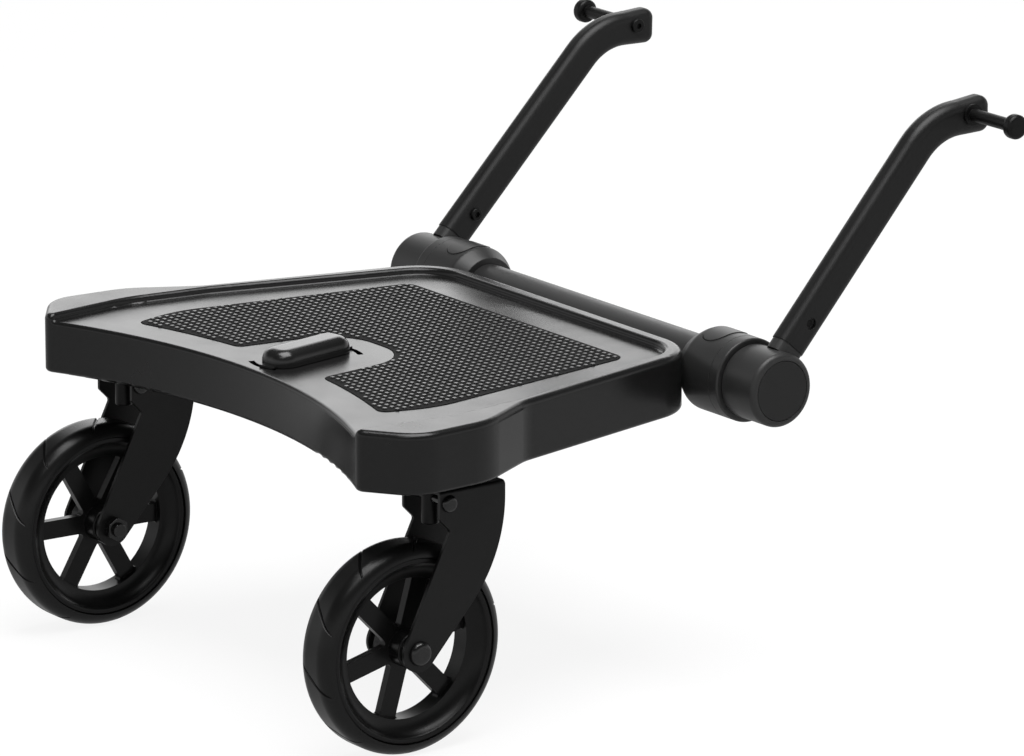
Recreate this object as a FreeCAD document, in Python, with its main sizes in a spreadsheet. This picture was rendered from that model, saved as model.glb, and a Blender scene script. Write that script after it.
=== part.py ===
import FreeCAD, Part
import Sketcher
import math
import os

# Buggy board: a stand-on deck with two casters at the rear and two arms that hook onto a pushchair.
# X runs to the right, Y ahead towards the pushchair and Z up from the floor.
# Places ahead are measured from the wheel axles; every piece is then shifted so that the
# origin lies on the floor under the middle of the whole board.

SIZES = {
    # clearances
    "fit_gap": 0.3,             # between pieces that move past each other
    "running_gap": 0.08,        # radial, shaft in its bearing
    "seat_gap": 0.05,           # radial, piece pressed into its seat
    "overrun": 2.0,             # how far a cut runs past a face
    # wheel
    "tyre_radius": 72.5,
    "tyre_width": 34.0,
    "tyre_shoulder": 11.0,
    "bead_width": 24.0,
    "bead_depth": 3.5,
    "tyre_height": 8.5,         # of the tyre above the rim's edge
    "rim_width": 31.6,
    "rim_lip": 4.0,
    "rim_lip_round": 2.0,
    "rim_edge_round": 1.4,
    "rim_dish": 11.5,           # from the lip in to the windows
    "rim_dish_bow": 15.0,
    "rim_web_width": 14.0,
    "spoke_width": 13.0,
    "right_spoke_angle": 13.8,
    "left_spoke_angle": 59.2,
    "window_hub_round": 2.5,
    "window_rim_round": 1.8,
    "spoke_depth": 6.0,
    "wheel_hub_radius": 12.5,
    "wheel_hub_length": 30.0,
    "wheel_hub_round": 1.5,
    "bush_wall": 2.0,
    "bush_length": 9.0,
    "bush_flange_radius": 9.5,
    "bush_flange": 1.2,
    # axle
    "axle_radius": 5.0,
    "axle_head_radius": 8.5,
    "axle_head_height": 4.5,
    "axle_head_round": 4.2,
    "axle_nut_radius": 8.6,
    "axle_nut_height": 6.0,
    "axle_tail": 3.0,
    "axle_tail_round": 1.0,
    "spacer_radius": 8.0,
    # caster fork
    "caster_x": 186.0,
    "caster_trail": 24.0,
    "fork_width": 44.0,
    "fork_sheet": 2.5,
    "fork_bend": 3.0,
    "fork_height": 180.4,
    "fork_rear": 16.6,
    "fork_front": 69.5,
    "fork_notch_top": 161.0,
    "fork_notch_ahead": 25.0,
    "fork_notch_height": 152.5,
    "fork_notch_round": 3.0,
    "fork_knee_round": 105.0,
    "fork_end_radius": 13.0,
    "fork_rear_angle": 64.0,
    "fork_front_angle": 48.0,
    "rivet_height": 171.5,
    "rivet_radius": 3.0,
    "rivet_head_radius": 6.0,
    "rivet_head_height": 3.6,
    "rivet_head_round": 3.5,
    # swivel
    "stem_radius": 6.0,
    "stem_foot_height": 153.5,
    "stem_foot_round": 1.0,
    "stem_collar_radius": 12.0,
    "stem_collar_height": 2.6,
    "stem_top": 213.5,
    "stem_top_round": 1.0,
    "swivel_bush_radius": 9.0,
    "swivel_flange_radius": 13.0,
    "swivel_flange": 2.5,
    "boss_radius": 15.5,
    "boss_height": 17.0,
    "retainer_radius": 11.5,
    "retainer_height": 2.0,
    # deck
    "deck_bottom": 185.4,
    "deck_top": 227.5,
    "floor_height": 222.5,
    "floor_sheet": 5.0,
    "skirt_wall": 3.5,
    "rim_wall": 10.0,
    "front_rim": 12.5,
    "tail_half_width": 190.0,
    "tail_behind": 38.0,
    "tail_round": 8.0,
    "rear_bow": 41.5,
    "wing_flare": 36.0,         # from the tail out to the wing's rear corner
    "wing_behind": 12.0,
    "wing_rear_round": 30.0,
    "wing_front_inset": 4.0,
    "wing_front_ahead": 48.0,
    "wing_front_round": 55.0,
    "waist_half_width": 195.5,
    "waist_ahead": 96.0,
    "waist_round": 40.0,
    "nose_half_width": 152.5,
    "nose_ahead": 273.5,
    "nose_round": 46.0,
    "deck_top_round": 4.6,
    "deck_bottom_round": 3.0,
    "rear_edge_round": 3.0,
    "tray_cove": 2.4,
    "tray_tail_inset": 5.5,
    "tray_wing_inset": 32.0,
    "tray_wing_ahead": 32.0,
    "tray_wing_round": 120.0,
    "frame_sheet": 4.0,
    "frame_screw_radius": 2.5,
    "frame_screw_head_radius": 4.5,
    "frame_screw_head": 2.6,
    "frame_screw_reach": 12.0,
    "post_radius": 6.0,
    # grip mat
    "mat_sheet": 2.2,
    "mat_sink": 1.8,
    "mat_tail_half_width": 147.0,
    "mat_tail_margin": 30.0,
    "mat_tail_round": 7.0,
    "mat_mouth_round": 7.0,
    "mat_belly_half_width": 158.0,
    "mat_belly_ahead": 50.0,
    "mat_belly_round": 80.0,
    "mat_nose_half_width": 127.0,
    "mat_nose_margin": 45.5,
    "mat_nose_round": 10.0,
    "tongue_half_width": 51.0,
    "tongue_tip_half_width": 40.0,
    "tongue_ahead": 112.0,
    "tongue_round": 37.0,
    # knob and lock bar
    "knob_ahead": 52.0,
    "knob_length": 71.0,
    "knob_width": 28.0,
    "knob_height": 11.5,
    "knob_plan_round": 12.0,
    "knob_top_round": 8.5,
    "knob_foot": 1.8,
    "knob_turn_angle": 11.0,
    "knob_tab_radius": 38.0,
    "knob_tab_width": 12.0,
    "knob_tab_sheet": 2.0,
    "knob_pivot_radius": 4.0,
    "knob_pivot_head_radius": 9.0,
    "knob_pivot_head": 3.0,
    "knob_pivot_reach": 7.0,
    "tab_slot_half_width": 2.0,
    "tab_slot_angle": 23.0,
    "bar_sheet": 2.5,
    "bar_width": 27.0,
    "bar_margin": 7.0,
    "bar_round": 6.0,
    "bar_above_boss": 3.4,
    # cross tube
    "tube_gap": 22.5,           # from the deck's nose to the tube's axis
    "tube_drop": 20.2,          # from the deck's top to the tube's axis
    "tube_radius": 19.2,
    "tube_wall": 2.0,
    "tube_half_length": 168.0,
    "sleeve_relief": 1.0,       # room round the hub sleeves in the deck's front corners
    "relief_wall": 8.0,
    "relief_span": 14.0,
    "pad_x": 62.0,
    "pad_width": 46.0,
    "pad_height": 26.0,
    "bolt_radius": 3.0,
    "bolt_head_radius": 5.5,
    "bolt_head_height": 3.5,
    "bolt_head_round": 1.5,
    "bolt_tail": 3.0,
    "nut_radius": 5.8,
    "nut_height": 5.0,
    # hub sleeve
    "sleeve_inner_x": 128.0,
    "sleeve_outer_x": 170.0,
    "sleeve_radius": 29.4,
    "sleeve_mouth_radius": 23.5,
    "sleeve_taper": 11.0,
    "sleeve_round": 6.0,
    "sleeve_edge_round": 0.8,
    "ring_length": 9.6,
    "ring_round": 1.5,
    "split_gap": 0.4,
    "sleeve_screw_x": 141.0,
    "sleeve_screw_radius": 2.2,
    "sleeve_screw_head_radius": 4.2,
    "sleeve_screw_head": 2.6,
    "sleeve_screw_sink": 4.0,
    # hub button
    "button_x": 151.0,
    "button_width": 20.6,
    "button_length": 32.0,
    "button_round": 9.6,
    "button_sheet": 3.4,
    "button_proud": 0.5,
    "button_gap": 0.4,
    "button_pin_radius": 3.6,
    "button_pin_reach": 4.0,
    "spring_radius": 5.6,
    "spring_wire": 0.9,
    # telescope
    "slide_travel": 40.0,
    "inner_wall": 2.0,
    "inner_tube_start": 96.0,
    "inner_tube_end": 206.2,
    "plug_length": 18.0,
    "plug_thread_radius": 4.0,
    "flange_radius": 20.0,
    "flange_sheet": 2.0,
    "pivot_head_radius": 7.0,
    "pivot_head_height": 3.0,
    "pivot_bolt_reach": 14.0,
    # arm drum and arm
    "drum_radius": 25.8,
    "drum_inner_x": 180.2,
    "drum_outer_x": 214.9,
    "drum_edge_round": 4.0,
    "drum_inner_round": 1.0,
    "cap_radius": 20.9,
    "cap_sheet": 2.6,
    "cap_round": 0.6,
    "cap_gap": 0.25,
    "arm_angle": 47.2,
    "arm_lean_angle": 1.4,      # right arm stands this much higher, left arm lower
    "arm_tip_angle": 0.0,
    "arm_offset": 3.6,
    "arm_depth": 24.0,
    "arm_width": 17.6,
    "arm_edge_round": 7.0,
    "arm_wall": 2.2,
    "arm_foot": 30.5,
    "arm_corner": 216.3,
    "arm_bend": 50.0,
    "arm_stud_along": 29.0,
    "arm_stud_lift": 2.8,       # stud above the middle of the arm's tip
    "arm_tip": 17.5,
    "arm_tip_round": 7.0,
    "arm_tip_flare": 2.2,       # the tip is this much deeper at its end
    "socket_reach": 62.0,
    "socket_round": 2.0,
    "neck_step": 0.6,
    "arm_screw_along": 51.0,
    "arm_screw_radius": 2.5,
    "arm_hole_radius": 4.0,     # round opening in the arm's outer face, over the screw's end
    "arm_screw_head_radius": 4.6,
    "arm_screw_head": 2.4,
    "arm_screw_round": 1.0,
    "key_radius": 2.3,          # corner of the hexagonal key that the screws take
    "key_depth": 1.8,
    # mushroom stud
    "stud_radius": 4.5,
    "stud_reach": 41.5,
    "stud_head_radius": 8.6,
    "stud_head_length": 9.0,
    "stud_head_round": 3.0,
    "stud_flange_radius": 7.5,
    "stud_flange": 2.0,
    "stud_thread_radius": 2.6,
    "stud_screw_head_radius": 5.2,
    "stud_screw_head": 2.6,
}

FULL_TURN = 360
SPOKES = 6
HEX_SIDES = 6
SPRING_TURNS = 4
# places of the deck's screws, as shares of the waist's half width and of the nose's place ahead
SCREW_SHARES = ((0.6, 0.82), (0.72, 0.45), (0.45, 0.22))
# how near an edge lies to a plane that it is taken to be in
TOUCH = 0.01

doc = FreeCAD.newDocument("BuggyBoard")
sheet = doc.addObject("Spreadsheet::Sheet", "Sizes")
for row, (alias, number) in enumerate(SIZES.items(), start=1):
    sheet.set(f"A{row}", alias)
    sheet.set(f"B{row}", str(number))
    sheet.setAlias(f"B{row}", alias)
doc.recompute()


class Size:
    """A size that knows its value and the sheet expression that gives it."""

    def __init__(self, value, text):
        self.value = float(value)
        self.text = text

    def __add__(self, other):
        other = as_size(other)
        return Size(self.value + other.value, f"({self.text} + {other.text})")

    def __sub__(self, other):
        other = as_size(other)
        return Size(self.value - other.value, f"({self.text} - {other.text})")

    def __mul__(self, other):
        other = as_size(other)
        return Size(self.value * other.value, f"({self.text} * {other.text})")

    def __truediv__(self, other):
        other = as_size(other)
        return Size(self.value / other.value, f"({self.text} / {other.text})")

    def __neg__(self):
        return Size(-self.value, f"(-1 * {self.text})")


def as_size(number):
    """Wrap a plain number, or pass a size through."""
    if isinstance(number, Size):
        return number
    return Size(number, repr(float(number)))


def sine(angle):
    return Size(math.sin(math.radians(angle.value)), f"sin({angle.text})")


def cosine(angle):
    return Size(math.cos(math.radians(angle.value)), f"cos({angle.text})")


def tangent(angle):
    return Size(math.tan(math.radians(angle.value)), f"tan({angle.text})")


def root(size):
    return Size(math.sqrt(size.value), f"sqrt({size.text})")


class Sheet:
    """Gives each cell of the sheet as a size: S.tyre_radius and so on."""

    def __getattr__(self, alias):
        return Size(sheet.get(alias), f"Sizes.{alias}")


S = Sheet()
ZERO = as_size(0)
pieces = {}


def bind(thing, name, size):
    """Tie one property of an object to the sheet."""
    thing.setExpression(name, as_size(size).text)


def place(thing, x=ZERO, y=ZERO, z=ZERO):
    """Put an object at a place given in sizes."""
    for letter, size in (("x", x), ("y", y), ("z", z)):
        bind(thing, f"Placement.Base.{letter}", size)


tube_ahead = S.nose_ahead + S.tube_gap
tube_height = S.deck_top - S.tube_drop

# The arm bends from its straight run towards level; the stud stands near its end.
# Both are given along the run and off its line, then turned to the run's angle.
arm_bend_turn = S.arm_angle - S.arm_tip_angle
tip_along = S.arm_corner + S.arm_stud_along * cosine(arm_bend_turn)
tip_off = S.arm_offset - S.arm_stud_along * sine(arm_bend_turn)
stud_along = tip_along + S.arm_stud_lift * sine(arm_bend_turn)
stud_off = tip_off + S.arm_stud_lift * cosine(arm_bend_turn)
arm_angles = {"right": S.arm_angle + S.arm_lean_angle, "left": S.arm_angle - S.arm_lean_angle}


def off_the_tube(side, along, off):
    """How far a place on an arm lies ahead of the tube's axis and above it."""
    angle = arm_angles[side]
    return along * cosine(angle) - off * sine(angle), along * sine(angle) + off * cosine(angle)


left_tip_rise = S.arm_tip_angle - S.arm_lean_angle
arm_reach = off_the_tube("left", tip_along, tip_off)[0] + S.arm_tip_round
arm_reach = arm_reach + (S.arm_tip - S.arm_tip_round) * cosine(left_tip_rise)
arm_reach = arm_reach - (S.arm_depth / 2 + S.arm_tip_flare - S.arm_tip_round) * sine(left_tip_rise)
middle_ahead = (tube_ahead + arm_reach - S.tyre_radius) / 2


def ahead(distance):
    """A place ahead of the axles, as a Y in the board's own frame."""
    return as_size(distance) - middle_ahead


def keep(thing, label, x=ZERO, y=ZERO, z=ZERO):
    """Name a finished piece, place it and list it."""
    thing.Label = label
    place(thing, x, ahead(y), z)
    pieces[label] = thing
    return thing


def mirror(source, label):
    """Make a left piece from one drawn at the right."""
    left = doc.addObject("Part::Mirroring", label)
    left.Source = source
    left.Normal = FreeCAD.Vector(1, 0, 0)
    left.Label = label
    pieces[label] = left


def keep_for_side(thing, side, label, *spot):
    """Keep a piece drawn at the right, mirrored if it belongs to the left side."""
    if side == "right":
        keep(thing, f"right_{label}", *spot)
        return
    keep(thing, f"drawn_{label}", *spot)
    mirror(pieces.pop(f"drawn_{label}"), f"left_{label}")


def lean(body, angle):
    """Turn a body about its own X axis."""
    body.Placement = FreeCAD.Placement(FreeCAD.Vector(), FreeCAD.Rotation(FreeCAD.Vector(1, 0, 0), 1))
    bind(body, "Placement.Rotation.Angle", angle)


def new_body(name):
    body = doc.addObject("PartDesign::Body", name)
    body.AllowCompound = True
    return body


def origin_plane(body, role):
    return next(feature for feature in body.Origin.OriginFeatures if feature.Role == role)


def new_sketch(body, role, lift=ZERO):
    """Start a sketch on one of the body's planes, lifted along the plane's normal."""
    sketch = body.newObject("Sketcher::SketchObject", "Sketch")
    sketch.AttachmentSupport = (origin_plane(body, role), "")
    sketch.MapMode = "FlatFace"
    bind(sketch, "AttachmentOffset.Base.z", lift)
    return sketch


def constrain(sketch, kind, *arguments, size=None):
    """Add a constraint, driven by a size if it has one."""
    if size is None:
        sketch.addConstraint(Sketcher.Constraint(kind, *arguments))
        return
    index = sketch.addConstraint(Sketcher.Constraint(kind, *arguments, size.value))
    if size.text != repr(size.value):
        sketch.setExpression(f"Constraints[{index}]", size.text)


def pin_point(sketch, geometry, end, x, y):
    """Hold a point of the sketch at x, y."""
    for kind, axis, size in (("DistanceX", -2, as_size(x)), ("DistanceY", -1, as_size(y))):
        if size.text == ZERO.text:
            constrain(sketch, "PointOnObject", geometry, end, axis)
        else:
            constrain(sketch, kind, -1, 1, geometry, end, size=size)


def arc_between(start, end, radius, leftward):
    """The short arc from start to end that bends to the left or to the right."""
    chord = end - start
    rise = math.sqrt(max(radius ** 2 - (chord.Length / 2) ** 2, 0))
    side = FreeCAD.Vector(-chord.y, chord.x, 0).normalize()
    centre = start + chord * 0.5 + side * (rise if leftward else -rise)
    first, last = (start, end) if leftward else (end, start)
    angles = [math.atan2(point.y - centre.y, point.x - centre.x) for point in (first, last)]
    circle = Part.Circle(centre, FreeCAD.Vector(0, 0, 1), radius)
    return Part.ArcOfCircle(circle, *angles)


def heading(start, end, bow, way):
    """The direction in which an edge leaves start, given its bow when walked forwards or backwards."""
    chord = end - start
    direction = FreeCAD.Vector(chord).normalize()
    if bow is None:
        return direction
    half_angle = math.asin(chord.Length / 2 / abs(bow.value))
    turn = -half_angle if bow.value * way > 0 else half_angle
    return FreeCAD.Rotation(FreeCAD.Vector(0, 0, 1), math.degrees(turn)).multVec(direction)


def outline(sketch, corners):
    """Close a loop through corners.

    A corner is (x, y), (x, y, round) or (x, y, round, bow): round is the radius that the corner is
    rounded to, if any, and bow the radius of an arc to the next corner, to the left where positive.
    """
    count = len(corners)
    rows = [tuple(corner) + (None,) * (4 - len(corner)) for corner in corners]
    spots = [FreeCAD.Vector(as_size(row[0]).value, as_size(row[1]).value, 0) for row in rows]
    enters, leaves, turns = [], [], []
    for index, row in enumerate(rows):
        here = spots[index]
        if row[2] is None:
            enters.append(here)
            leaves.append(here)
            turns.append(None)
            continue
        back = heading(here, spots[index - 1], rows[index - 1][3], -1)
        onward = heading(here, spots[(index + 1) % count], row[3], 1)
        reach = row[2].value / math.tan(back.getAngle(onward) / 2)
        enters.append(here + back * reach)
        leaves.append(here + onward * reach)
        turns.append(back.cross(onward).z < 0)
    edges, edge_ends = [], []
    for index, row in enumerate(rows):
        following = (index + 1) % count
        if row[3] is None:
            edges.append(sketch.addGeometry(Part.LineSegment(leaves[index], enters[following])))
            edge_ends.append((1, 2))
            continue
        bow = as_size(row[3])
        arc = arc_between(leaves[index], enters[following], abs(bow.value), bow.value > 0)
        edges.append(sketch.addGeometry(arc))
        edge_ends.append((1, 2) if bow.value > 0 else (2, 1))
        radius = bow if bow.value > 0 else -bow
        constrain(sketch, "Radius", edges[-1], size=radius)
    for index, row in enumerate(rows):
        before, after = edges[index - 1], edges[index]
        before_end, after_end = edge_ends[index - 1][1], edge_ends[index][0]
        if row[2] is None:
            constrain(sketch, "Coincident", before, before_end, after, after_end)
            pin_point(sketch, after, after_end, row[0], row[1])
            continue
        leftward = turns[index]
        arc = sketch.addGeometry(arc_between(enters[index], leaves[index], row[2].value, leftward))
        arc_start, arc_end = (1, 2) if leftward else (2, 1)
        constrain(sketch, "Tangent", before, before_end, arc, arc_start)
        constrain(sketch, "Tangent", arc, arc_end, after, after_end)
        constrain(sketch, "Radius", arc, size=row[2])
        corner = sketch.addGeometry(Part.Point(spots[index]), True)
        constrain(sketch, "PointOnObject", corner, 1, before)
        constrain(sketch, "PointOnObject", corner, 1, after)
        pin_point(sketch, corner, 1, row[0], row[1])


def ring(sketch, x, y, radius):
    """Draw a full circle."""
    centre = FreeCAD.Vector(as_size(x).value, as_size(y).value, 0)
    circle = sketch.addGeometry(Part.Circle(centre, FreeCAD.Vector(0, 0, 1), radius.value))
    constrain(sketch, "Radius", circle, size=radius)
    pin_point(sketch, circle, 3, x, y)


def pad(body, sketch, length, both_ways=False, backwards=False):
    feature = body.newObject("PartDesign::Pad", "Pad")
    feature.Profile = sketch
    bind(feature, "Length", length)
    feature.Midplane = both_ways
    feature.Reversed = backwards
    doc.recompute()
    return feature


def pocket(body, sketch, length, both_ways=False, backwards=False):
    """Cut a sketch into the body, against the sketch's normal unless turned backwards."""
    before = body.Shape.Volume
    feature = body.newObject("PartDesign::Pocket", "Pocket")
    feature.Profile = sketch
    bind(feature, "Length", length)
    feature.Midplane = both_ways
    feature.Reversed = backwards
    doc.recompute()
    if body.Shape.Volume >= before:
        raise ValueError(f"a pocket of {body.Name} cuts nothing")
    return feature


def revolve(body, sketch, axis):
    feature = body.newObject("PartDesign::Revolution", "Revolution")
    feature.Profile = sketch
    feature.ReferenceAxis = (sketch, [axis])
    feature.Angle = FULL_TURN
    doc.recompute()
    return feature


def fillet(body, radius, wanted):
    """Round the edges that the test picks."""
    base = body.Tip
    names = [f"Edge{number}" for number, edge in enumerate(base.Shape.Edges, start=1) if wanted(edge)]
    feature = body.newObject("PartDesign::Fillet", "Fillet")
    feature.Base = (base, names)
    bind(feature, "Radius", radius)
    doc.recompute()
    return feature


def turned(name, corners, axis="X"):
    """A turned piece: corners are (along the axis, radius) or (along, radius, round)."""
    body = new_body(name)
    sketch = new_sketch(body, "YZ_Plane" if axis == "Y" else "XZ_Plane")
    if axis == "Z":
        corners = [(corner[1], corner[0]) + tuple(corner[2:]) for corner in corners]
    outline(sketch, corners)
    revolve(body, sketch, "V_Axis" if axis == "Z" else "H_Axis")
    return body


def tube_profile(start, end, inner, outer, inner_round=None, outer_round=None):
    """Corners of a plain ring or tube, with its two outer corners rounded if asked."""
    return [(start, inner), (start, outer, inner_round), (end, outer, outer_round), (end, inner)]


def shank_with_head(start, seat, radius, head_radius, head_height, head_round, start_round=None):
    """Corners of a bolt that starts at its tip and has its head past the seat."""
    return [
        (start, ZERO),
        (start, radius, start_round),
        (seat, radius),
        (seat, head_radius),
        (seat + head_height, head_radius, head_round),
        (seat + head_height, ZERO),
    ]


def group(name, members):
    """Several separate solids that share one node."""
    compound = doc.addObject("Part::Compound", name)
    compound.Links = members
    return compound


def hex_nut(name, radius, height, bore, turn):
    """A hexagonal nut with a plain bore, turned from upright about an axis."""
    block = doc.addObject("Part::Prism", f"{name}_block")
    block.Polygon = HEX_SIDES
    bind(block, "Circumradius", radius)
    bind(block, "Height", height)
    hole = doc.addObject("Part::Cylinder", f"{name}_hole")
    bind(hole, "Radius", bore)
    bind(hole, "Height", height)
    nut = doc.addObject("Part::Cut", name)
    nut.Base = block
    nut.Tool = hole
    nut.Placement = FreeCAD.Placement(FreeCAD.Vector(), turn)
    return nut


def hex_socket(body, role, lift, depth, backwards=False):
    """A hexagonal hole for a key in the face of a screw's head."""
    corner, rise = S.key_radius * cosine(hex_turn), S.key_radius * sine(hex_turn)
    socket = new_sketch(body, role, lift)
    outline(socket, [
        (S.key_radius, ZERO), (corner, rise), (-corner, rise),
        (-S.key_radius, ZERO), (-corner, -rise), (corner, -rise)])
    pocket(body, socket, depth, backwards=backwards)


hex_turn = as_size(FULL_TURN / HEX_SIDES)
TO_X = FreeCAD.Rotation(FreeCAD.Vector(0, 1, 0), 90)
TO_Y = FreeCAD.Rotation(FreeCAD.Vector(1, 0, 0), -90)


# Wheel: rubber tyre on a spoked rim that runs on two flanged bushes

wheel_place = (S.caster_x, ZERO, S.tyre_radius)
bush_radius = S.axle_radius + S.running_gap + S.bush_wall
hub_half = S.wheel_hub_length / 2
rim_radius = S.tyre_radius - S.tyre_height
bead_radius = rim_radius - S.bead_depth
lip_radius = rim_radius - S.rim_lip
window_radius = lip_radius - S.rim_dish


def make_tyre():
    bead, shoulder = S.bead_width / 2, S.tyre_shoulder
    crown, drop = S.tyre_width / 2 - shoulder, shoulder - S.tyre_height
    side = crown + root(shoulder * shoulder - drop * drop)
    body = turned("right_tyre", [
        (-side, rim_radius, None, -shoulder),
        (-crown, S.tyre_radius),
        (crown, S.tyre_radius, None, -shoulder),
        (side, rim_radius),
        (bead, rim_radius),
        (bead, bead_radius),
        (-bead, bead_radius),
        (-bead, rim_radius),
    ])
    keep(body, "right_tyre", *wheel_place)


def window_plan():
    """One opening between two spokes, with its point towards the hub."""
    half_sector = as_size(FULL_TURN / SPOKES / 2)
    half_spoke = S.spoke_width / 2
    run = root(window_radius * window_radius - half_spoke * half_spoke)
    side = run * sine(half_sector) - half_spoke * cosine(half_sector)
    top = run * cosine(half_sector) + half_spoke * sine(half_sector)
    return [
        (ZERO, half_spoke / sine(half_sector), S.window_hub_round),
        (side, top, S.window_rim_round, window_radius),
        (-side, top, S.window_rim_round)]


def make_wheel_rim(side, turn):
    half, bead, web = S.rim_width / 2, S.bead_width / 2 + S.seat_gap, S.rim_web_width / 2
    edge, floor = rim_radius - S.seat_gap, bead_radius - S.seat_gap
    spoke, bore = S.spoke_depth / 2, bush_radius + S.seat_gap
    body = turned("wheel_rim", [
        (-hub_half, bore), (-hub_half, S.wheel_hub_radius, S.wheel_hub_round), (-spoke, S.wheel_hub_radius),
        (-spoke, window_radius), (-web, window_radius, None, S.rim_dish_bow),
        (-half, lip_radius, S.rim_lip_round), (-half, edge, S.rim_edge_round),
        (-bead, edge), (-bead, floor), (bead, floor), (bead, edge), (half, edge, S.rim_edge_round),
        (half, lip_radius, S.rim_lip_round, S.rim_dish_bow), (web, window_radius), (spoke, window_radius),
        (spoke, S.wheel_hub_radius), (hub_half, S.wheel_hub_radius, S.wheel_hub_round), (hub_half, bore)])
    sketch = new_sketch(body, "YZ_Plane")
    outline(sketch, window_plan())
    window = pocket(body, sketch, S.spoke_depth + S.overrun, both_ways=True)
    windows = body.newObject("PartDesign::PolarPattern", "Windows")
    windows.Originals = [window]
    windows.Axis = (sketch, ["N_Axis"])
    windows.Angle = FULL_TURN
    windows.Occurrences = SPOKES
    body.Tip = windows
    doc.recompute()
    lean(body, turn)
    keep_for_side(body, side, "wheel_rim", *wheel_place)


def make_wheel_bushes():
    bushes = []
    for side in (1, -1):
        inner, outer = hub_half * side - S.bush_length * side, hub_half * side
        bore = S.axle_radius + S.running_gap
        bushes.append(turned("right_wheel_bush", [
            (inner, bore), (inner, bush_radius), (outer, bush_radius), (outer, S.bush_flange_radius),
            (outer + S.bush_flange * side, S.bush_flange_radius), (outer + S.bush_flange * side, bore)]))
    keep(group("right_wheel_bushes", bushes), "right_wheel_bushes", *wheel_place)


# Caster: stamped fork on an upright stem, with the axle bolt across its legs

fork_half = S.fork_width / 2
leg_inner = fork_half - S.fork_sheet
stem_place = (S.caster_x, S.caster_trail)


def make_fork():
    body = new_body("right_fork")
    top_sketch = new_sketch(body, "XY_Plane", S.fork_height)
    outline(top_sketch, [
        (-fork_half, S.fork_rear), (fork_half, S.fork_rear),
        (fork_half, S.fork_front), (-fork_half, S.fork_front)])
    pad(body, top_sketch, S.fork_sheet, backwards=True)
    rear_ahead = -S.fork_end_radius * sine(S.fork_rear_angle)
    rear_up = S.tyre_radius + S.fork_end_radius * cosine(S.fork_rear_angle)
    front_ahead = S.fork_end_radius * sine(S.fork_front_angle)
    front_up = S.tyre_radius - S.fork_end_radius * cosine(S.fork_front_angle)
    knee_up = front_up + (S.fork_front - front_ahead) * tangent(S.fork_front_angle)
    for lift in (leg_inner, -fork_half):
        leg_sketch = new_sketch(body, "YZ_Plane", lift)
        outline(leg_sketch, [
            (S.fork_rear, S.fork_height),
            (S.fork_rear, S.fork_notch_top, S.fork_notch_round),
            (S.fork_notch_ahead, S.fork_notch_height, S.fork_notch_round),
            (rear_ahead, rear_up, None, S.fork_end_radius),
            (front_ahead, front_up),
            (S.fork_front, knee_up, S.fork_knee_round),
            (S.fork_front, S.fork_height)])
        pad(body, leg_sketch, S.fork_sheet)
    top, side = S.fork_height.value, fork_half.value
    fillet(body, S.fork_bend, lambda edge: at_x_and_z(edge, side, top))
    across = new_sketch(body, "YZ_Plane")
    ring(across, ZERO, S.tyre_radius, S.axle_radius + S.seat_gap)
    ring(across, S.caster_trail, S.rivet_height, S.rivet_radius + S.seat_gap)
    pocket(body, across, S.fork_width + S.overrun, both_ways=True)
    stem_hole = new_sketch(body, "XY_Plane", S.fork_height + S.overrun)
    ring(stem_hole, ZERO, S.caster_trail, S.stem_radius + S.seat_gap)
    pocket(body, stem_hole, S.fork_sheet + S.overrun * 2)
    keep(body, "right_fork", S.caster_x)


def at_x_and_z(edge, side, top):
    """An edge that runs straight along Y at the given distance from the middle and height."""
    box = edge.BoundBox
    reach = edge.CenterOfMass
    flat = box.ZLength < TOUCH and box.XLength < TOUCH
    return flat and abs(abs(reach.x) - side) < TOUCH and abs(reach.z - top) < TOUCH


collar_top = S.fork_height + S.stem_collar_height
bush_bottom = collar_top + S.fit_gap
boss_bottom = bush_bottom + S.swivel_flange
boss_top = boss_bottom + S.boss_height
retainer_bottom = boss_top + S.fit_gap
retainer_top = retainer_bottom + S.retainer_height


def make_stem():
    body = turned("right_swivel_stem", [
        (S.stem_foot_height, ZERO),
        (S.stem_foot_height, S.stem_radius, S.stem_foot_round),
        (S.fork_height, S.stem_radius),
        (S.fork_height, S.stem_collar_radius),
        (collar_top, S.stem_collar_radius),
        (collar_top, S.stem_radius),
        (S.stem_top, S.stem_radius, S.stem_top_round),
        (S.stem_top, ZERO),
    ], "Z")
    across = new_sketch(body, "YZ_Plane")
    ring(across, ZERO, S.rivet_height, S.rivet_radius + S.seat_gap)
    pocket(body, across, S.stem_radius * 2 + S.overrun, both_ways=True)
    keep(body, "right_swivel_stem", *stem_place)


def make_swivel_rings():
    retainer = turned("right_stem_retainer", tube_profile(
        retainer_bottom, retainer_top, S.stem_radius + S.seat_gap, S.retainer_radius), "Z")
    keep(retainer, "right_stem_retainer", *stem_place)
    bore = S.stem_radius + S.running_gap
    bush = turned("right_caster_bush", [
        (bush_bottom, bore), (bush_bottom, S.swivel_flange_radius), (boss_bottom, S.swivel_flange_radius),
        (boss_bottom, S.swivel_bush_radius), (boss_top, S.swivel_bush_radius), (boss_top, bore)], "Z")
    keep(bush, "right_caster_bush", *stem_place)


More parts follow.
